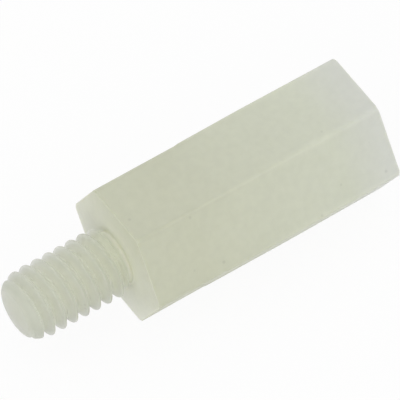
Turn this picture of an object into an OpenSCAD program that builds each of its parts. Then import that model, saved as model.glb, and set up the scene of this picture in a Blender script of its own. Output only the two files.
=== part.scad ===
// Hexagonal standoff, moulded in one piece: a threaded stud at one end and a blind bore for a
// thread at the other. The axis is X, the shoulder is the plane X = 0, the stud points to -X and
// the bored end to +X. Two of the flats face up and down, so the part lies on a flat.

/* [Hexagonal body] */
// Length from the shoulder to the bored end
body_l = 15; // [12:0.5:40]
// Width across the flats on the stud side of the parting line
flats_w = 7; // [6.6:0.1:10]
// Radius of the six long edges
edge_r = 0.2; // [0.1:0.05:0.4]
// Chamfer round the shoulder and round the bored end
end_break = 0.1; // [0.05:0.05:0.2]
// Distance of the mould's parting line from the shoulder
parting_x = 4.6; // [3:0.1:6]
// How far each flat of the bored side stands out past the stud side at the parting line
parting_step = 0.025; // [0.01:0.005:0.05]
// Draft angle of the flats on the bored side, which lean in towards its end
draft = 0.3; // [0.1:0.1:0.6]

/* [Threaded stud] */
// Length of the stud from the shoulder to its tip
stud_l = 6.3; // [4:0.1:12]
// Diameter over the crests of the stud's thread
crest_d = 3.88; // [3.6:0.01:4]
// Depth of the thread from crest to root
thread_depth = 0.42; // [0.3:0.01:0.43]
// Distance from one crest to the next
pitch = 0.7; // [0.65:0.05:0.8]
// Width of the flat land on a crest
crest_w = 0.1; // [0.06:0.01:0.12]
// Angle between the two flanks of a ridge
flank_angle = 60; // [50:1:60]
// Length of the plain neck at the shoulder, as thick as the thread's roots, before its run-in
neck_l = 0.2; // [0.1:0.1:1]
// Distance from the shoulder to the first whole crest, along the top of the stud
first_crest = 1.1; // [0.9:0.01:1.6]
// Radius that rounds the thread off at the tip
tip_r = 1.5; // [1:0.1:2]
// Diameter of the flat face on the tip
tip_face_d = 2.6; // [2.2:0.1:3]

/* [Threaded bore] */
// Depth of the bore from the bored end to its flat floor
bore_l = 9.5; // [6:0.5:11]
// Diameter of the bore, over the inner crests of its thread
bore_d = 3.3; // [3:0.05:3.4]
// Diameter of the countersink at the mouth of the bore, a cone of 90 degrees
sink_d = 4.6; // [4:0.1:5]

/* [Hidden] */
$fn = 72;
nylon = [0.79, 0.8, 0.72];

// The two sides of the body, which meet at the parting line
bored_l = body_l - parting_x;
bored_side_w = flats_w + 2 * parting_step;
bored_end_w = bored_side_w - 2 * bored_l * tan(draft);
// Angles of the points round each long edge, from its middle
edge_angles = [-30 : 12 : 30];

// One pitch of the thread's section, as [distance along the axis, radius]
crest_r = crest_d / 2;
root_r = crest_r - thread_depth;
flank_l = thread_depth * tan(flank_angle / 2);
root_w = pitch - crest_w - 2 * flank_l;
thread_section = [
    [0, root_r],
    [root_w, root_r],
    [root_w + flank_l, crest_r],
    [root_w + flank_l + crest_w, crest_r],
];
crest_middle = root_w + flank_l + crest_w / 2;

// The rounded tip: how far it comes in from the crests, and how far back it starts
tip_drop = crest_r - tip_face_d / 2;
tip_l = sqrt(pow(tip_r, 2) - pow(tip_r - tip_drop, 2));

// The thread is swept from inside the body to past the tip, in steps of a turn
core_l = 1;
steps = 36;
sweep_start = first_crest - crest_middle
    - pitch * ceil((first_crest - crest_middle + core_l) / pitch);
turns = ceil((stud_l - sweep_start) / pitch) + 1;
section_points = len(thread_section);
columns = turns * section_points + 1;

// Depth of the countersink, and how far a cutting shape runs past the face that it opens
sink_l = (sink_d - bore_d) / 2;
past = 0.1;

// Outline of a hexagon w across its flats, in the plane at x: two flats face up and down
function hexagon(x, w) = [
    for (corner = [0 : 60 : 300], angle = edge_angles)
        let (centre = w / sqrt(3) - edge_r / cos(30))
            [
                x,
                centre * cos(corner) + edge_r * cos(corner + angle),
                centre * sin(corner) + edge_r * sin(corner + angle),
            ]
];

// A solid through outlines that follow one another along +X and have as many points each
module loft(outlines) {
    n = len(outlines[0]);
    last = len(outlines) - 1;
    sides = [
        for (k = [0 : last - 1], i = [0 : n - 1])
            let (next = (i + 1) % n)
                [k * n + i, (k + 1) * n + i, (k + 1) * n + next, k * n + next]
    ];
    start = [for (i = [0 : n - 1]) i];
    end = [for (i = [n - 1 : -1 : 0]) last * n + i];
    polyhedron(points = [for (outline = outlines) each outline], faces = concat(sides, [start, end]));
}

// The body: a straight stud side, a step at the parting line and a drafted bored side
module body() {
    loft([
        hexagon(0, flats_w - 2 * end_break),
        hexagon(end_break, flats_w),
        hexagon(parting_x, flats_w),
        hexagon(parting_x, bored_side_w),
        hexagon(body_l - end_break, bored_end_w),
        hexagon(body_l, bored_end_w - 2 * end_break),
    ]);
}

// The largest radius at z from the shoulder: neck, run-in at 45 degrees, crests, rounded tip
function limit(z) =
    z < neck_l ? root_r
    : z < stud_l - tip_l ? min(crest_r, root_r + z - neck_l)
    : crest_r - tip_r + sqrt(max(0, pow(tip_r, 2) - pow(z - stud_l + tip_l, 2)));

// Point on the stud's surface, after a step of the turn and a column along the axis
function thread_point(step, column) =
    let (
        corner = thread_section[column % section_points],
        angle = 360 * step / steps,
        rise = pitch * (floor(column / section_points) + step / steps),
        z = sweep_start + rise + corner[0],
        r = min(corner[1], limit(z))
    )
    [r * cos(angle), r * sin(angle), z];

// Place of that point in the list: the step after the last is the first, one pitch further on
function at(step, column) =
    step < steps ? step * columns + column : column + section_points;

// The stud's surface as one right-handed sweep, closed at each end by a fan and a radial step
module thread_sweep() {
    low = steps * columns;
    high = low + 1;
    last = columns - 1;
    surface = [for (s = [0 : steps - 1], c = [0 : last]) thread_point(s, c)];
    ends = [[0, 0, sweep_start], [0, 0, sweep_start + pitch * (turns + 1)]];
    sides = [
        for (s = [0 : steps - 1])
            for (c = [0 : last - 1 - (s < steps - 1 ? 0 : section_points)])
                each [
                    [at(s, c), at(s, c + 1), at(s + 1, c + 1)],
                    [at(s, c), at(s + 1, c + 1), at(s + 1, c)],
                ]
    ];
    low_fan = [for (s = [0 : steps - 1]) [low, at(s, 0), at(s + 1, 0)]];
    low_step = [low, for (c = [section_points : -1 : 0]) at(0, c)];
    high_fan = [for (s = [0 : steps - 2]) [high, at(s + 1, last), at(s, last)]];
    high_close = [high, at(0, last), at(steps - 1, last - section_points)];
    high_step = [high, for (c = [last - section_points : last]) at(steps - 1, c)];
    polyhedron(
        points = concat(surface, ends),
        faces = concat(sides, low_fan, [low_step], high_fan, [high_close, high_step])
    );
}

// The stud, cut off square at its tip
module stud() {
    rotate([0, -90, 0])
        difference() {
            thread_sweep();
            translate([0, 0, stud_l])
                cylinder(h = 3 * pitch, d = crest_d + 2 * past);
        }
}

// The blind bore with its countersunk mouth, as the shape to cut away
module bore() {
    translate([body_l, 0, 0])
        rotate([0, 90, 0]) {
            translate([0, 0, -bore_l])
                cylinder(h = bore_l, d = bore_d);
            translate([0, 0, -sink_l])
                cylinder(h = sink_l + past, d1 = bore_d, d2 = sink_d + 2 * past);
        }
}

module standoff() {
    color(nylon)
        difference() {
            union() {
                body();
                stud();
            }
            bore();
        }
}

standoff();
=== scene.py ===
"""The finished look of the hexagonal nylon standoff, on a white floor in soft studio light.

The part is one moulding: a hexagonal body, a threaded stud and a blind threaded bore. It is
modelled along its own axis, with the shoulder at zero and the stud upwards, and is then laid
down on a flat with the stud towards -X.
"""

import math

import bmesh
import bpy
from bpy.props import FloatProperty, FloatVectorProperty, PointerProperty
from mathutils import Matrix, Vector


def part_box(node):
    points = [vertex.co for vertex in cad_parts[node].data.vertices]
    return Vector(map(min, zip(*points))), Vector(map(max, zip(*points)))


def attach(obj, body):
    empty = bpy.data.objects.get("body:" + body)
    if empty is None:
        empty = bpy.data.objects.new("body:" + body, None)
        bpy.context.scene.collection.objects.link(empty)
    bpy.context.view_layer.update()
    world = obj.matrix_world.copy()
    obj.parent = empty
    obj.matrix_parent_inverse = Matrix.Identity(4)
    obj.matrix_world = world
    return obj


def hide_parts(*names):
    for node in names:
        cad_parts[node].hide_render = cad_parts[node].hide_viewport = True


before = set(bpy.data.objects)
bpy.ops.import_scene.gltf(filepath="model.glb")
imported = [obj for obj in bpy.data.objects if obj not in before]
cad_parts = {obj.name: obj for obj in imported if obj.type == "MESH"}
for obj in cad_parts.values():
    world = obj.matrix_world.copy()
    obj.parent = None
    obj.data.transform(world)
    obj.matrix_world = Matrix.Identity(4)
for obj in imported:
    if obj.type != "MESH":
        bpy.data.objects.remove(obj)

bl_info = {
    "name": "Hexagonal nylon standoff",
    "version": (1, 0, 0),
    "blender": (4, 5, 0),
    "location": "3D View > Sidebar > Standoff",
    "description": "Models a moulded nylon standoff and sets it in soft studio light",
    "category": "Object",
}

MM = 0.001
NODE = "standoff"
BODY = "root"

# Opposite corners of the box round the solid part.
LOW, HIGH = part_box(NODE)

# Turns the upright part so that the stud, which is modelled upwards, points to -X.
LAID_DOWN = Matrix.Rotation(math.radians(-90), 4, "Y")
CENTRE = Vector((0, 0, 0))
UPWARDS = Vector((0, 0, 1))

# Steps round a full turn, over a long edge and over any smaller rounding, and the angles of the
# points on a quarter arc.
TURN_STEPS = 72
LONG_EDGE_STEPS = 6
ROUNDING_STEPS = 3
QUARTER_ARC = tuple(math.radians(turn) for turn in range(0, 91, 15))

# Cuts that keep a thread's flanks from being one long strip.
FLANK_CUTS = 3

# Half of 60 degrees, which is a thread's angle as well as a hexagon's turn at each edge.
HALF_SIXTY = math.radians(30)

# Points closer than the first are merged, and the second is the tolerance of a flat cut.
SAME_POINT = MM / 1000
ON_PLANE = MM / 10000


def linear(hex_colour):
    """The linear colour of an sRGB hex value such as "C3C5B0"."""
    channels = [int(hex_colour[i : i + 2], 16) / 255 for i in (0, 2, 4)]
    return [c / 12.92 if c <= 0.04045 else ((c + 0.055) / 1.055) ** 2.4 for c in channels]


def length(name, description, default):
    """A size in metres, shown as a length."""
    return FloatProperty(
        name=name, description=description, default=default, unit="LENGTH", precision=6
    )


def angle(name, description, degrees):
    """An angle whose default is given in degrees."""
    return FloatProperty(
        name=name, description=description, default=math.radians(degrees), subtype="ANGLE"
    )


def colour(name, description, hex_colour):
    """A colour whose default is an sRGB hex value."""
    return FloatVectorProperty(
        name=name, description=description, default=linear(hex_colour),
        subtype="COLOR", size=3, min=0, max=1,
    )


def share(name, description, default):
    """A share of one; where it is added to a tone, a share below zero makes that darker."""
    return FloatProperty(name=name, description=description, default=default, min=-1, max=1)


class StandoffBodySizes(bpy.types.PropertyGroup):
    """Sizes of the hexagonal body."""

    long: length("Length", "From the shoulder to the bored end", HIGH.x)
    flats: length("Across flats", "Width over the flats at the shoulder", 6.97 * MM)
    flats_before: length("Before the line", "Width on the stud's side of the parting line", 6.95 * MM)
    flats_after: length("After the line", "Width on the bored side of the parting line", 7.01 * MM)
    flats_fullest: length("Fullest", "Greatest width over the flats", HIGH.z - LOW.z)
    fullest_at: length("Fullest at", "From the shoulder to the greatest width", 9 * MM)
    flats_end: length("At the end", "Width over the flats at the bored end", 6.97 * MM)
    parting_at: length("Parting line", "From the shoulder to the parting line", 4.46 * MM)
    parting_tilt: angle("Tilt of the line", "Of the parting line, out of square", 8.6)
    ledge: length("Ledge", "Length of the small step at the parting line", 0.2 * MM)
    edge: length("Long edges", "Radius of the six long edges", 0.21 * MM)
    rim: length("Rims", "Radius of the edges round both ends", 0.05 * MM)
    corner: length("Corners", "Radius of the corners of both ends", 0.14 * MM)


class StandoffStudSizes(bpy.types.PropertyGroup):
    """Sizes of the threaded stud."""

    long: length("Length", "From the shoulder to the tip", -LOW.x)
    crest: length("Crest radius", "Radius over the crests of the thread", 1.94 * MM)
    depth: length("Thread depth", "From the crests to the roots", 0.44 * MM)
    pitch: length("Pitch", "From one crest to the next", 0.7 * MM)
    land: length("Crest land", "Width of a crest before it is rounded", 0.1 * MM)
    soft: length("Rounding", "How far the rounding of a crest or root reaches", 0.05 * MM)
    first: length("First crest", "Height of a crest over the upper flat", 1.1 * MM)
    neck: length("Neck", "Plain length at the shoulder", 0.2 * MM)
    fillet: length("Fillet", "Radius where the neck meets the shoulder", 0.12 * MM)
    nose: length("Nose", "Length over which the stud rounds off to its tip", 1.4 * MM)
    tip_radius: length("Tip radius", "Radius of the flat on the tip", 1.15 * MM)


class StandoffBoreSizes(bpy.types.PropertyGroup):
    """Sizes of the blind threaded bore."""

    deep: length("Depth", "From the bored end to the floor", 9.5 * MM)
    radius: length("Inner radius", "Radius inside the crests of the thread", 1.65 * MM)
    depth: length("Thread depth", "From the inner crests to the roots", 0.36 * MM)
    land: length("Root land", "Width of a root before it is rounded", 0.09 * MM)
    soft: length("Rounding", "How far the rounding of a crest or root reaches", 0.04 * MM)
    plain: length("Plain end", "Length without a thread at the floor", 0.8 * MM)
    floor: length("Floor rounding", "Radius round the floor", 0.25 * MM)
    sink: length("Countersink", "Radius of the countersink at the bored end", 2.3 * MM)
    lip: length("Lip", "Rounding of the countersink's edge", 0.05 * MM)


class StandoffFinish(bpy.types.PropertyGroup):
    """Colour of the nylon, the painted light and shade on it, and its translucency."""

    # Painted shade: the tip and nose are darker, where more light falls on them.
    tip: colour("Tip", "Flat end of the stud", "ADAFA1")
    nose: colour("Nose", "Rounding between the tip and the thread", "A3A698")
    stud: colour("Stud", "Thread near the tip", "C5C8B6")
    # Painted light: the stud's foot and neck are paler, in the shoulder's shade.
    stud_foot: colour("Foot of the stud", "Thread near the shoulder", "CFD2BF")
    neck: colour("Neck", "Plain part between the thread and the shoulder", "D4D4CA")
    # Painted light and shade on the shoulder: dim at the top, lit at the bottom.
    shoulder_dim: colour("Shoulder, dim", "At the top of the shoulder", "C2C4AE")
    shoulder_lit: colour("Shoulder, lit", "At the bottom, where light comes through", "F3F4EA")
    solid: colour("Solid nylon", "Where the moulding is solid", "CBCDB9")
    # Painted light: the walls and mouth are paler, where thin nylon lets more light through.
    walls: colour("Walls", "Over the bore, where more light comes through", "D2D5C5")
    mouth: colour("Mouth", "Over the countersink, where the walls are thinnest", "D5D7CF")
    thread_start: length("Thread start", "From the shoulder to the full tone of the foot", 0.3 * MM)
    thread_end: length("Thread end", "From the tip to the full tone of the thread", 2.0 * MM)
    solid_end: length("Solid end", "From the shoulder to the end of the solid tone", 3.0 * MM)
    # Painted shade on the crests, so that the grooves between them read as lit.
    crests: share("Crests", "Added to the tone on the crests of the stud", -0.153)
    # Painted light round the foot of the stud, where the corner is in shade.
    corner: share("Corner", "Added to the tone round the foot of the stud", 0.13)
    # Painted light on the neck and its fillet, in the shade where they meet the shoulder.
    fold_painted_light: share("Fillet", "Added to the tone of the neck and its fillet", 0.08)
    # Painted shade on the long edges near the shoulder, and a painted highlight over the bore.
    edges_painted_shade: share("Long edges, solid", "Added to their tone near the shoulder", -0.035)
    edges_painted_highlight: share("Long edges, walls", "Added to their tone over the bore", 0.025)
    # Painted shade on the shoulder's rim, whose rounding catches more light.
    rim: share("Rim of the shoulder", "Added to its tone", -0.08)
    clouds: share("Clouds", "How much paler and darker the cloudy resin gets", 0.012)
    cloud_size: length("Cloud size", "Size of a cloudy patch", 3.5 * MM)
    grain: share("Grain", "How much paler and darker the grain of the resin gets", 0.02)
    grain_size: length("Grain size", "Size of a grain", 0.4 * MM)
    grain_relief: length("Grain relief", "Height of the surface's faint unevenness", 0.02 * MM)
    specks: share("Specks", "Added to the tone of a speck in the resin", -0.12)
    speck_spacing: length("Speck spacing", "From one speck to the next, about", 1.5 * MM)
    spread_stud: length("Spread in the stud", "How far light travels in the thin stud", 14.0 * MM)
    spread_body: length("Spread in the body", "How far light travels in the body", 0.15 * MM)


class StandoffStage(bpy.types.PropertyGroup):
    """Camera and light."""

    azimuth: angle("Azimuth", "Camera's turn round the part", -31.898)
    elevation: angle("Elevation", "Camera's height over the floor", 53.406)
    roll: angle("Roll", "Camera's turn about its own axis", -2.396)
    distance: length("Distance", "From the camera to the point it is aimed at", 420 * MM)
    aim_right: length("Aim right", "Aim point, to the right of the shoulder's centre", 4.271 * MM)
    aim_up: length("Aim up", "Aim point, above the shoulder's centre", 2.903 * MM)
    lens: FloatProperty(
        name="Focal length", description="In millimetres", default=733.4, unit="CAMERA"
    )
    key: FloatProperty(
        name="Key light", description="Power of the low lamp in front", default=0.18, unit="POWER"
    )
    key_azimuth: angle("Key azimuth", "Its turn round the part", -50)
    key_elevation: angle("Key elevation", "Its height over the floor", 12)
    side: FloatProperty(
        name="Side light", description="Power of the lamp past the stud", default=0.06, unit="POWER"
    )
    side_azimuth: angle("Side azimuth", "Its turn round the part", -90)
    side_elevation: angle("Side elevation", "Its height over the floor", 15)
    lamp_size: length("Lamp size", "Side of each square lamp", 250 * MM)
    lamp_distance: length("Lamp distance", "From the part to each lamp", 300 * MM)
    room: FloatProperty(name="Room light", description="Strength of the white room", default=0.91)


# --- Modelling tools -------------------------------------------------------------------------


def new_object(bm, name):
    """A new object in the scene, made from a bmesh."""
    mesh = bpy.data.meshes.new(name)
    bm.to_mesh(mesh)
    bm.free()
    made = bpy.data.objects.new(name, mesh)
    bpy.context.scene.collection.objects.link(made)
    return made


def combine(target, tool, operation):
    """Joins a tool to the target, cuts it out or keeps only what is inside it, and removes it."""
    step = target.modifiers.new(operation, "BOOLEAN")
    step.operation = operation
    step.solver = "EXACT"
    step.object = tool
    seen = bpy.context.evaluated_depsgraph_get()
    result = bpy.data.meshes.new_from_object(target.evaluated_get(seen))
    target.modifiers.clear()
    target.data = result
    bpy.data.objects.remove(tool)


def add_chain(bm, outline):
    """Adds a chain of edges through (radius, height) points and gives its vertices."""
    points = [bm.verts.new((radius, 0, height)) for radius, height in outline]
    for pair in zip(points, points[1:]):
        bm.edges.new(pair)
    return points


def lathe(name, outline):
    """A solid turned about the axis from an outline of (radius, height) points."""
    bm = bmesh.new()
    add_chain(bm, outline)
    bmesh.ops.spin(
        bm, geom=bm.verts[:] + bm.edges[:], cent=CENTRE, axis=UPWARDS,
        angle=math.tau, steps=TURN_STEPS, use_merge=True,
    )
    bmesh.ops.remove_doubles(bm, verts=bm.verts, dist=SAME_POINT)
    bmesh.ops.recalc_face_normals(bm, faces=bm.faces)
    return new_object(bm, name)


def thread_section(bm, crest, depth, pitch, land, soft):
    """One pitch of a 60 degree thread, from root to root, as a chain with rounded corners."""
    root = crest - depth
    foot = land / 2 + depth * math.tan(HALF_SIXTY)
    heights = (-pitch / 2, -foot, -land / 2, land / 2, foot, pitch / 2)
    radii = (root, root, crest, crest, root, root)
    corners = add_chain(bm, zip(radii, heights))
    bmesh.ops.bevel(
        bm, geom=corners[1:-1], affect="VERTICES", offset=soft, offset_type="OFFSET",
        segments=ROUNDING_STEPS, profile=0.5, material=-1,
    )
    flanks = [edge for edge in bm.edges if edge.calc_length() > depth / 2]
    bmesh.ops.subdivide_edges(bm, edges=flanks, cuts=FLANK_CUTS)


def threaded_rod(name, section, crest_at, low, high, outline):
    """A closed rod with a right-hand thread that nowhere stands out of outline(height).

    On the +X side, crest_at is the height of one of its crests. The thread starts below the low
    end and runs on past the high one, and both ends are then cut flat.
    """
    pitch = section["pitch"]
    bm = bmesh.new()
    thread_section(bm, **section)
    start = crest_at - pitch * math.ceil((crest_at - low) / pitch + 1)
    turns = math.ceil((high - start) / pitch + 1)
    bmesh.ops.translate(bm, vec=(0, 0, start), verts=bm.verts)
    bmesh.ops.spin(
        bm, geom=bm.verts[:] + bm.edges[:], cent=CENTRE, axis=UPWARDS,
        dvec=(0, 0, pitch / TURN_STEPS), angle=math.tau, steps=TURN_STEPS,
    )
    one_turn = bm.verts[:] + bm.edges[:] + bm.faces[:]
    for turn in range(1, turns):
        copy = bmesh.ops.duplicate(bm, geom=one_turn)
        moved = [part for part in copy["geom"] if isinstance(part, bmesh.types.BMVert)]
        bmesh.ops.translate(bm, vec=(0, 0, turn * pitch), verts=moved)
    bmesh.ops.remove_doubles(bm, verts=bm.verts, dist=SAME_POINT)
    for vert in bm.verts:
        radius = vert.co.xy.length
        allowed = outline(vert.co.z)
        if radius > allowed:
            vert.co.xy *= allowed / radius
    for height, outwards in ((low, -UPWARDS), (high, UPWARDS)):
        cut = bmesh.ops.bisect_plane(
            bm, geom=bm.verts[:] + bm.edges[:] + bm.faces[:], dist=ON_PLANE,
            plane_co=(0, 0, height), plane_no=outwards, clear_outer=True,
        )
        ring = [part for part in cut["geom_cut"] if isinstance(part, bmesh.types.BMEdge)]
        bmesh.ops.edgeloop_fill(bm, edges=ring)
    bmesh.ops.recalc_face_normals(bm, faces=bm.faces)
    return new_object(bm, name)


# --- The standoff ----------------------------------------------------------------------------


def reach_of_edges(body):
    """The distance from the axis to the middle of a rounded long edge, at the shoulder."""
    return body.flats / math.sqrt(3) - body.edge * (2 / math.sqrt(3) - 1)


def hexagonal_bar(body):
    """The hexagonal body with its soft edges, draft and the small step at the parting line."""
    # Distance from the shoulder, width over the flats, and lean out of square.
    stations = (
        (body.parting_at, body.flats_before, body.parting_tilt),
        (body.parting_at + body.ledge, body.flats_after, body.parting_tilt),
        (body.fullest_at, body.flats_fullest, 0),
        (body.long, body.flats_end, 0),
    )
    corner_radius = body.flats / math.sqrt(3)
    bm = bmesh.new()
    bmesh.ops.create_circle(bm, cap_ends=True, segments=6, radius=corner_radius)
    bmesh.ops.bevel(
        bm, geom=bm.verts[:], affect="VERTICES", offset=body.edge * math.tan(HALF_SIXTY),
        offset_type="OFFSET", segments=LONG_EDGE_STEPS, profile=0.5, material=-1,
    )
    end = bm.faces[:][0]
    flats = body.flats
    for distance, next_flats, tilt in stations:
        grown = bmesh.ops.extrude_face_region(bm, geom=[end, *end.edges, *end.verts])
        end = next(part for part in grown["geom"] if isinstance(part, bmesh.types.BMFace))
        growth = next_flats / flats
        bmesh.ops.scale(bm, vec=(growth, growth, 1), verts=end.verts[:])
        # Once laid down, the parting line is furthest from the shoulder at the top and back.
        for vert in end.verts:
            across = (vert.co.x + vert.co.y) / math.sqrt(2)
            vert.co.z = -distance - math.tan(tilt) * across
        flats = next_flats
    bmesh.ops.recalc_face_normals(bm, faces=bm.faces)
    ends = (0, -body.long)
    near = body.rim / 10
    rims = [
        edge for edge in bm.edges
        if any(all(abs(vert.co.z - height) < near for vert in edge.verts) for height in ends)
    ]
    bmesh.ops.bevel(
        bm, geom=rims, affect="EDGES", offset=body.rim, offset_type="OFFSET",
        segments=ROUNDING_STEPS, profile=0.5, material=-1,
    )
    return new_object(bm, "nylon_standoff")


def round_corners(body):
    """What is kept of the body where the corners of both its ends are rounded."""
    reach = reach_of_edges(body)
    clear = 1 * MM
    at_shoulder = [
        (reach - body.corner * (1 - math.sin(turn)), -body.corner * (1 - math.cos(turn)))
        for turn in QUARTER_ARC
    ]
    at_bored_end = [(radius, -body.long - height) for radius, height in reversed(at_shoulder)]
    # Between its ends the outline stands clear of the body.
    waist = [
        (reach + clear, -body.corner - clear), (reach + clear, body.corner + clear - body.long)
    ]
    outline = [(0, clear), *at_shoulder, *waist, *at_bored_end, (0, -body.long - clear)]
    return lathe("round_corners", outline)


def threaded_stud(stud):
    """The stud, from inside the body to its nose."""
    root = stud.crest - stud.depth

    # After the plain neck the thread rises at 45 degrees, and over the round nose it dies away.
    def outline(height):
        from_tip = stud.long - height
        if height < stud.neck:
            return root
        if from_tip > stud.nose:
            return min(stud.crest, root + height - stud.neck)
        along = min(1 - from_tip / stud.nose, 1)
        return stud.tip_radius + (stud.crest - stud.tip_radius) * math.sqrt(1 - along**2)

    section = {
        "crest": stud.crest, "depth": stud.depth, "pitch": stud.pitch,
        "land": stud.land, "soft": stud.soft,
    }
    return threaded_rod("stud", section, stud.first, -stud.pitch, stud.long, outline)


def neck_fillet(stud):
    """The ring that rounds the corner between the neck and the shoulder."""
    # The ring starts just inside the neck, so that no sliver is left between them.
    inside = stud.crest - stud.depth - stud.fillet / 20
    arc = [
        (inside + stud.fillet * (1 - math.cos(turn)), stud.fillet * (1 - math.sin(turn)))
        for turn in QUARTER_ARC
    ]
    widest = inside + stud.fillet
    outline = [(0, stud.fillet), *arc, (widest, -stud.fillet), (0, -stud.fillet)]
    return lathe("neck_fillet", outline)


def thread_cutter(bore, body, pitch):
    """What is taken out of the body for the thread of the bore."""
    floor = bore.deep - body.long
    widest = bore.radius + bore.depth

    # The floor is rounded and the bore beside it plain, and then the thread rises at 45 degrees.
    def outline(height):
        from_floor = floor - height
        if from_floor < bore.floor:
            short = bore.floor - max(from_floor, 0)
            return bore.radius - bore.floor + math.sqrt(bore.floor**2 - short**2)
        return max(bore.radius, min(widest, bore.radius + from_floor - bore.plain))

    section = {
        "crest": widest, "depth": bore.depth, "pitch": pitch, "land": bore.land, "soft": bore.soft,
    }
    return threaded_rod("thread_cutter", section, floor, -body.long - pitch, floor, outline)


def countersink(bore, body):
    """What is taken out of the body for the countersink."""
    # A cone of 90 degrees that starts outside the body and ends inside the bore.
    outside = bore.sink
    inside = bore.radius / 2
    outline = (
        (0, -body.long - outside), (bore.sink + outside, -body.long - outside),
        (inside, -body.long + bore.sink - inside), (0, -body.long + bore.sink - inside),
    )
    return lathe("countersink", outline)


def soften_lip(piece, bore, body):
    """Rounds the edge between the bored end and the countersink."""
    bm = bmesh.new()
    bm.from_mesh(piece.data)
    # A few points where the cuts meet lie closer than SAME_POINT, and are left apart.
    bmesh.ops.remove_doubles(bm, verts=bm.verts, dist=SAME_POINT / 2)
    near = bore.lip / 2
    lip = [
        edge for edge in bm.edges
        if all(
            abs(vert.co.z + body.long) < near and abs(vert.co.xy.length - bore.sink) < near
            for vert in edge.verts
        )
    ]
    bmesh.ops.bevel(
        bm, geom=lip, affect="EDGES", offset=bore.lip, offset_type="OFFSET",
        segments=ROUNDING_STEPS, profile=0.5, material=-1,
    )
    bm.to_mesh(piece.data)
    bm.free()


def shade(piece):
    """Smooth faces, with crisp edges only where the surface really turns."""
    crisp_from = math.radians(35)
    piece.data.shade_smooth()
    piece.data.set_sharp_from_angle(angle=crisp_from)
    weighted = piece.modifiers.new("Flat faces stay flat", "WEIGHTED_NORMAL")
    weighted.keep_sharp = True


# --- Materials -------------------------------------------------------------------------------


def add_node(tree, kind, inputs=(), **settings):
    """Adds a node with its settings; each input is a value or the socket that feeds it."""
    made = tree.nodes.new(kind)
    for name, value in settings.items():
        setattr(made, name, value)
    for name, value in dict(inputs).items():
        if isinstance(value, bpy.types.NodeSocket):
            tree.links.new(value, made.inputs[name])
        else:
            made.inputs[name].default_value = value
    return made


def product(tree, first, *others):
    """The product of some values."""
    result = first
    for each in others:
        result = add_node(
            tree, "ShaderNodeMath", {0: result, 1: each}, operation="MULTIPLY"
        ).outputs["Value"]
    return result


def mask(tree, *ramps):
    """The product of ramps, each of which rises from 0 at one value to 1 at another."""
    return product(
        tree,
        *(
            add_node(
                tree, "ShaderNodeMapRange", {"Value": value, "From Min": empty, "From Max": full}
            ).outputs["Result"]
            for value, empty, full in ramps
        ),
    )


def lift(tree, where, by):
    """A tone of 1, and of 1 + by where the mask is full."""
    return add_node(
        tree, "ShaderNodeMath", {0: where, 1: by, 2: 1.0}, operation="MULTIPLY_ADD"
    ).outputs["Value"]


def mottle(tree, place, size, by):
    """Soft patches of about the given size, and their tone, which goes from 1 - by to 1 + by."""
    # Most of the noise lies between these.
    lowest, highest = 0.3, 0.7
    patches = add_node(
        tree, "ShaderNodeTexNoise", {"Vector": place, "Scale": 1 / size, "Detail": 3}
    ).outputs["Fac"]
    tone = add_node(
        tree, "ShaderNodeMapRange",
        {
            "Value": patches, "From Min": lowest, "From Max": highest,
            "To Min": 1 - by, "To Max": 1 + by,
        },
    ).outputs["Result"]
    return patches, tone


def new_material(name):
    """A material with an empty node tree, and that tree."""
    material = bpy.data.materials.new(name)
    material.use_nodes = True
    material.node_tree.nodes.clear()
    return material, material.node_tree


def tint_along(tree, x, finish, body, stud):
    """Painted light and shade along the part: thin nylon lets more light through and reads paler."""
    nose_at = 0.15 * MM
    walls_before_end = 3.0 * MM
    mouth_before_end = 0.5 * MM
    whole = stud.long + body.long
    # Painted shade darkens the tip and nose; painted light pales the foot, neck, walls and mouth.
    stops = (
        (0, finish.tip),
        (nose_at, finish.nose),
        (finish.thread_end, finish.stud),
        (stud.long - finish.thread_start, finish.stud_foot),
        (stud.long - stud.neck / 2, finish.neck),
        (stud.long, finish.solid),
        (stud.long + finish.solid_end, finish.solid),
        (whole - walls_before_end, finish.walls),
        (whole - mouth_before_end, finish.mouth),
    )
    along = add_node(
        tree, "ShaderNodeMapRange", {"Value": x, "From Min": -stud.long, "From Max": body.long}
    )
    ramp = add_node(tree, "ShaderNodeValToRGB", {"Fac": along.outputs["Result"]})
    elements = ramp.color_ramp.elements
    for index, (distance, tone) in enumerate(stops):
        stop = elements[index] if index < len(elements) else elements.new(distance / whole)
        stop.position = distance / whole
        stop.color = (*tone, 1)
    return ramp.outputs["Color"]


def tint_shoulder(tree, place, x, tinted, finish, body):
    """The part's colour, with the shoulder's painted light and shade laid over it there."""
    # The shoulder is painted palest low down and at the back, where the card's light comes through.
    to_card = (0, 0.37, -0.93)
    reach = body.flats / math.sqrt(3)
    stud_side = (x, -0.04 * MM, -0.01 * MM)
    body_side = (x, 0.012 * MM, 0.002 * MM)
    card_side = add_node(
        tree, "ShaderNodeVectorMath", {0: place, 1: to_card}, operation="DOT_PRODUCT"
    ).outputs["Value"]
    shoulder = add_node(
        tree, "ShaderNodeMix",
        {
            "Factor": mask(tree, (card_side, -reach, reach)),
            "A": (*finish.shoulder_dim, 1), "B": (*finish.shoulder_lit, 1),
        },
        data_type="RGBA",
    ).outputs["Result"]
    return add_node(
        tree, "ShaderNodeMix",
        {"Factor": mask(tree, stud_side, body_side), "A": tinted, "B": shoulder},
        data_type="RGBA",
    ).outputs["Result"]


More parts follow.
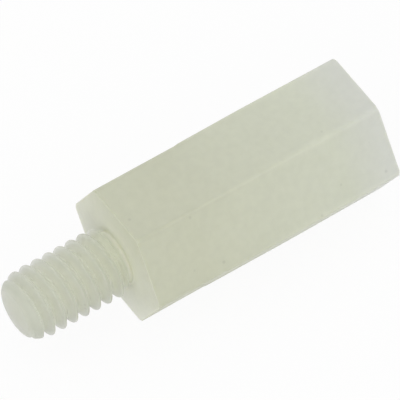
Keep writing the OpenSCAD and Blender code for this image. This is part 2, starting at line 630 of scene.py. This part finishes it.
def stud_tone(tree, x, radius, finish, stud):
    """Painted light from inside the stud, in the grooves of its thread and the corner at its foot."""
    root = stud.crest - stud.depth
    to_shoulder = add_node(tree, "ShaderNodeMath", {0: x}, operation="ABSOLUTE").outputs["Value"]

    # Painted shade darkens the crests, so that the grooves read as filled with light.
    out_of_grooves = (radius, root, stud.crest - stud.soft)
    past_nose = (x, stud.pitch - stud.long, finish.thread_end - stud.long)
    past_foot = (x, 0, -finish.thread_start)
    crests = lift(tree, mask(tree, out_of_grooves, past_nose, past_foot), finish.crests)

    # Painted light round the foot of the stud, where the corner is in shade.
    towards_root = (radius, root + 1.1 * MM, root)
    at_shoulder = (to_shoulder, stud.neck, 0.03 * MM)
    corner = lift(tree, mask(tree, towards_root, at_shoulder), finish.corner)

    # Painted light on the neck and its fillet, in the shade where they meet the shoulder.
    widest = root + stud.fillet
    inside_fillet = (radius, widest + 0.06 * MM, widest - 0.02 * MM)
    near_shoulder = (to_shoulder, 0.35 * MM, 0.15 * MM)
    fold_painted_light = lift(tree, mask(tree, inside_fillet, near_shoulder), finish.fold_painted_light)
    return product(tree, crests, corner, fold_painted_light)


def body_tone(tree, x, radius, finish, body):
    """Painted light and shade: the long edges stand out a little, and the shoulder's rim doesn't."""
    # Painted shade near the shoulder and a painted highlight over the bore:
    # The edges are darker than the flats near the shoulder, and paler with the bore behind them.
    edges_before_end = 4.0 * MM
    by = add_node(
        tree, "ShaderNodeMapRange",
        {
            "Value": x, "From Min": finish.solid_end, "From Max": body.long - edges_before_end,
            "To Min": finish.edges_painted_shade, "To Max": finish.edges_painted_highlight,
        },
    ).outputs["Result"]
    reach = reach_of_edges(body)
    near_edges = (radius, reach - 0.09 * MM, reach - 0.03 * MM)
    edges = lift(tree, mask(tree, near_edges), by)

    # Painted shade on the shoulder's rim, whose rounding catches more light.
    off_shoulder = (x, 0.002 * MM, 0.012 * MM)
    on_rounding = (x, 0.08 * MM, body.rim)
    rim = lift(tree, mask(tree, off_shoulder, on_rounding), finish.rim)
    return product(tree, edges, rim)


def resin(tree, place, finish):
    """The tone of slightly cloudy, finely grained resin with a few specks in it, and its grain."""
    _, cloudy = mottle(tree, place, finish.cloud_size, finish.clouds)
    # The grain is drawn coarser than it is, so that it shows.
    grain, grainy = mottle(tree, place, finish.grain_size, finish.grain)
    from_speck = add_node(
        tree, "ShaderNodeTexVoronoi", {"Vector": place, "Scale": 1 / finish.speck_spacing}
    ).outputs["Distance"]
    # Both are shares of the specks' spacing.
    outside, inside = 0.08, 0.03
    speck = lift(tree, mask(tree, (from_speck, outside, inside)), finish.specks)
    return product(tree, cloudy, grainy, speck), grain


def moulded_nylon(finish, body, stud):
    """Undyed polyamide, injection moulded: a satin, waxy, milky plastic that light soaks into."""
    material, tree = new_material("Undyed polyamide, injection moulded")
    place = add_node(tree, "ShaderNodeTexCoord").outputs["Object"]
    x = add_node(tree, "ShaderNodeSeparateXYZ", {"Vector": place}).outputs["X"]
    across = add_node(
        tree, "ShaderNodeVectorMath", {0: place, 1: (0, 1, 1)}, operation="MULTIPLY"
    ).outputs["Vector"]
    radius = add_node(
        tree, "ShaderNodeVectorMath", {0: across}, operation="LENGTH"
    ).outputs["Value"]

    tinted = tint_along(tree, x, finish, body, stud)
    tinted = tint_shoulder(tree, place, x, tinted, finish, body)
    resin_tone, grain = resin(tree, place, finish)
    # Painted light and shade on the stud and body, times the resin's own tone.
    tone = product(
        tree,
        stud_tone(tree, x, radius, finish, stud),
        body_tone(tree, x, radius, finish, body),
        resin_tone,
    )
    # The nylon's colour, with the painted light and shade of the tints and tones laid on it.
    nylon = add_node(tree, "ShaderNodeVectorMath", {0: tinted, "Scale": tone}, operation="SCALE")

    # Light travels far in the thin stud, and less far in the body.
    change_before_shoulder = 0.25 * MM
    spread = add_node(
        tree, "ShaderNodeMapRange",
        {
            "Value": x, "From Min": -change_before_shoulder, "From Max": 0.0,
            "To Min": finish.spread_stud, "To Max": finish.spread_body,
        },
        interpolation_type="SMOOTHSTEP",
    )
    bump = add_node(
        tree, "ShaderNodeBump",
        {"Height": grain, "Strength": 0.15, "Distance": finish.grain_relief},
    )
    surface = add_node(
        tree, "ShaderNodeBsdfPrincipled",
        {
            "Base Color": nylon.outputs["Vector"],
            "Roughness": 0.5,
            "IOR": 1.53,
            "Specular IOR Level": 0.3,
            "Normal": bump.outputs["Normal"],
            "Subsurface Weight": 1.0,
            "Subsurface Radius": (1.0, 1.0, 0.9),
            "Subsurface Scale": spread.outputs["Result"],
        },
        subsurface_method="RANDOM_WALK",
    )
    add_node(tree, "ShaderNodeOutputMaterial", {"Surface": surface.outputs["BSDF"]})
    return material


def seen_by_eye(tree):
    """1 for rays from the camera and for what is seen in gloss or through glass, else 0."""
    path = add_node(tree, "ShaderNodeLightPath")
    direct = add_node(
        tree, "ShaderNodeMath",
        {0: path.outputs["Is Camera Ray"], 1: path.outputs["Is Glossy Ray"]},
        operation="MAXIMUM",
    )
    return add_node(
        tree, "ShaderNodeMath",
        {0: direct.outputs["Value"], 1: path.outputs["Is Transmission Ray"]},
        operation="MAXIMUM",
    ).outputs["Value"]


def white_card():
    """Matt white card under the part. It looks white and still keeps some of the shadow."""
    shadow_kept = 0.08
    card_white = linear("F4F4F4")
    material, tree = new_material("White card, matt")
    card = add_node(tree, "ShaderNodeBsdfDiffuse", {"Color": (*card_white, 1)})
    glow = add_node(tree, "ShaderNodeEmission", {"Color": (1, 1, 1, 1), "Strength": 1.0})
    glowing = add_node(
        tree, "ShaderNodeMath", {0: seen_by_eye(tree), 1: 1 - shadow_kept}, operation="MULTIPLY"
    )
    mix = add_node(
        tree, "ShaderNodeMixShader",
        {0: glowing.outputs["Value"], 1: card.outputs["BSDF"], 2: glow.outputs["Emission"]},
    )
    add_node(tree, "ShaderNodeOutputMaterial", {"Surface": mix.outputs["Shader"]})
    return material


# --- The stage -------------------------------------------------------------------------------


def white_floor():
    """A wide plain floor at the height of the lowest flat."""
    half_side = 2.0
    bm = bmesh.new()
    bmesh.ops.create_grid(bm, x_segments=1, y_segments=1, size=half_side)
    bmesh.ops.translate(bm, vec=(0, 0, LOW.z), verts=bm.verts)
    floor = new_object(bm, "floor")
    floor.data.materials.append(white_card())
    return floor


def white_room(strength):
    """Even light from all round, which reads as plain white behind the part."""
    world = bpy.data.worlds.new("White room")
    world.use_nodes = True
    tree = world.node_tree
    tree.nodes.clear()
    light = add_node(tree, "ShaderNodeBackground", {"Color": (1, 1, 1, 1), "Strength": strength})
    backdrop = add_node(tree, "ShaderNodeBackground", {"Color": (1, 1, 1, 1), "Strength": 1.0})
    mix = add_node(
        tree, "ShaderNodeMixShader",
        {
            0: seen_by_eye(tree),
            1: light.outputs["Background"], 2: backdrop.outputs["Background"],
        },
    )
    add_node(tree, "ShaderNodeOutputWorld", {"Surface": mix.outputs["Shader"]})
    bpy.context.scene.world = world


def view_from(azimuth, elevation):
    """The right and backward directions of something that looks at the part from that side."""
    right = Vector((math.cos(azimuth), math.sin(azimuth), 0))
    back = Vector(
        (
            math.sin(azimuth) * math.cos(elevation),
            -math.cos(azimuth) * math.cos(elevation),
            math.sin(elevation),
        )
    )
    return right, back


def aim(thing, place, right, back):
    """Sets a camera or lamp at a place, looking against back."""
    turned = Matrix((right, back.cross(right), back)).transposed().to_4x4()
    thing.matrix_world = Matrix.Translation(place) @ turned


def new_camera(stage):
    """A long lens, so that the part's edges stay parallel."""
    data = bpy.data.cameras.new("camera")
    data.lens = stage.lens
    camera = bpy.data.objects.new("camera", data)
    bpy.context.scene.collection.objects.link(camera)
    level, back = view_from(stage.azimuth, stage.elevation)
    right = math.cos(stage.roll) * level + math.sin(stage.roll) * back.cross(level)
    target = stage.aim_right * right + stage.aim_up * back.cross(right)
    aim(camera, target + stage.distance * back, right, back)
    bpy.context.scene.camera = camera


def soft_light(name, power, azimuth, elevation, stage):
    """A square lamp that faces the part."""
    data = bpy.data.lights.new(name, "AREA")
    data.energy = power
    data.size = stage.lamp_size
    lamp = bpy.data.objects.new(name, data)
    bpy.context.scene.collection.objects.link(lamp)
    right, back = view_from(azimuth, elevation)
    middle = Vector(((LOW.x + HIGH.x) / 2, 0, 0))
    aim(lamp, middle + stage.lamp_distance * back, right, back)


# --- The add-on ------------------------------------------------------------------------------


class STANDOFF_OT_model(bpy.types.Operator):
    """Model the standoff and give it its finish"""

    bl_idname = "standoff.model"
    bl_label = "Model the standoff"

    def execute(self, context):
        scene = context.scene
        body = scene.standoff_body
        stud = scene.standoff_stud
        bore = scene.standoff_bore
        piece = hexagonal_bar(body)
        combine(piece, round_corners(body), "INTERSECT")
        combine(piece, threaded_stud(stud), "UNION")
        combine(piece, neck_fillet(stud), "UNION")
        combine(piece, thread_cutter(bore, body, stud.pitch), "DIFFERENCE")
        combine(piece, countersink(bore, body), "DIFFERENCE")
        soften_lip(piece, bore, body)
        piece.data.transform(LAID_DOWN)
        piece.data.materials.clear()
        piece.data.materials.append(moulded_nylon(scene.standoff_finish, body, stud))
        shade(piece)
        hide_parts(NODE)
        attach(piece, BODY)
        return {"FINISHED"}


class STANDOFF_OT_stage(bpy.types.Operator):
    """Set up the floor, the light and the camera"""

    bl_idname = "standoff.stage"
    bl_label = "Set the stage"

    def execute(self, context):
        stage = context.scene.standoff_stage
        context.scene.view_settings.view_transform = "Standard"
        white_floor()
        white_room(stage.room)
        soft_light("key", stage.key, stage.key_azimuth, stage.key_elevation, stage)
        soft_light("side", stage.side, stage.side_azimuth, stage.side_elevation, stage)
        new_camera(stage)
        return {"FINISHED"}


class STANDOFF_PT_panel(bpy.types.Panel):
    """Sizes, finish and stage of the standoff"""

    bl_label = "Hexagonal standoff"
    bl_idname = "STANDOFF_PT_panel"
    bl_space_type = "VIEW_3D"
    bl_region_type = "UI"
    bl_category = "Standoff"

    def draw(self, context):
        layout = self.layout
        for name in PROPERTY_GROUPS:
            box = layout.box()
            group = getattr(context.scene, name)
            for prop in type(group).__annotations__:
                box.prop(group, prop)
        layout.operator(STANDOFF_OT_model.bl_idname)
        layout.operator(STANDOFF_OT_stage.bl_idname)


PROPERTY_GROUPS = {
    "standoff_body": StandoffBodySizes,
    "standoff_stud": StandoffStudSizes,
    "standoff_bore": StandoffBoreSizes,
    "standoff_finish": StandoffFinish,
    "standoff_stage": StandoffStage,
}
CLASSES = (*PROPERTY_GROUPS.values(), STANDOFF_OT_model, STANDOFF_OT_stage, STANDOFF_PT_panel)


def register():
    """Adds the classes to Blender and the sizes to its scenes."""
    for each in CLASSES:
        bpy.utils.register_class(each)
    for name, group in PROPERTY_GROUPS.items():
        setattr(bpy.types.Scene, name, PointerProperty(type=group))


def unregister():
    """Takes away what register() added."""
    for name in PROPERTY_GROUPS:
        delattr(bpy.types.Scene, name)
    for each in reversed(CLASSES):
        bpy.utils.unregister_class(each)


def main():
    """Builds the whole scene."""
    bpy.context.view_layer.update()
    register()
    bpy.ops.standoff.model()
    bpy.ops.standoff.stage()


if __name__ == "__main__":
    main()
